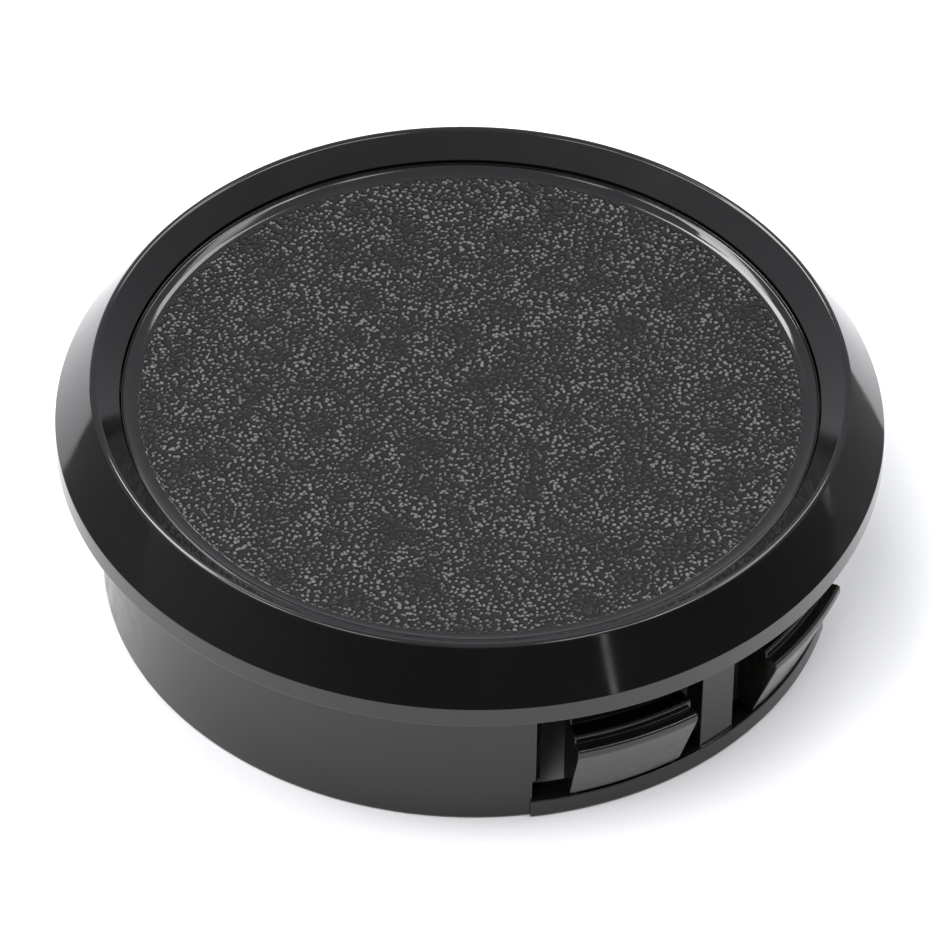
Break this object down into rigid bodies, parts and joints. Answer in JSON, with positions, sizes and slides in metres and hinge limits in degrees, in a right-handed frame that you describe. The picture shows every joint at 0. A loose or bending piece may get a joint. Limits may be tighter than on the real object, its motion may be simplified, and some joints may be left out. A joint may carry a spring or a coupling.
{
  "type": "desk grommet",
  "caption": "Round black snap-in desk grommet: bevelled glossy flange, lift-out pebble-grained cap and spring latches in the windows of its skirt.",
  "frame": {"origin": "on the axis, at the underside of the flange where it meets the panel", "axes": "+Z out of the panel along the axis; the two pairs of latches are centred on +X and -X"},
  "size_m": [0.071, 0.071, 0.0214],
  "materials": {
    "sleeve_black": "polished black flange and bezel, satin skirt",
    "cap_black": "fine pebble grain with a glossy raised edge",
    "latch_black": "satin"
  },
  "bodies": {
    "sleeve_body": {"sleeve": "sleeve_black"},
    "cap_body": {"cap": "cap_black"},
    "latch_1_body": {"latch_1": "latch_black"},
    "latch_2_body": {"latch_2": "latch_black"},
    "latch_3_body": {"latch_3": "latch_black"},
    "latch_4_body": {"latch_4": "latch_black"}
  },
  "joints": [
    {"name": "cap_lift", "type": "slide", "parent": "sleeve_body", "child": "cap_body", "axis": [0, 0, 1], "range_m": [0, 0.02]},
    {"name": "latch_1_flex", "type": "hinge", "parent": "sleeve_body", "child": "latch_1_body", "pos_m": [0.02922, -0.00909, -0.0131], "axis": [-0.2969, -0.9549, 0], "range_deg": [0, 22], "stiffness_Nm_per_rad": 0.2},
    {"name": "latch_2_flex", "type": "hinge", "parent": "sleeve_body", "child": "latch_2_body", "pos_m": [0.02922, 0.00909, -0.0131], "axis": [0.2969, -0.9549, 0], "range_deg": [0, 22], "stiffness_Nm_per_rad": 0.2},
    {"name": "latch_3_flex", "type": "hinge", "parent": "sleeve_body", "child": "latch_3_body", "pos_m": [-0.02922, 0.00909, -0.0131], "axis": [0.2969, 0.9549, 0], "range_deg": [0, 22], "stiffness_Nm_per_rad": 0.2},
    {"name": "latch_4_flex", "type": "hinge", "parent": "sleeve_body", "child": "latch_4_body", "pos_m": [-0.02922, -0.00909, -0.0131], "axis": [-0.2969, 0.9549, 0], "range_deg": [0, 22], "stiffness_Nm_per_rad": 0.2}
  ]
}
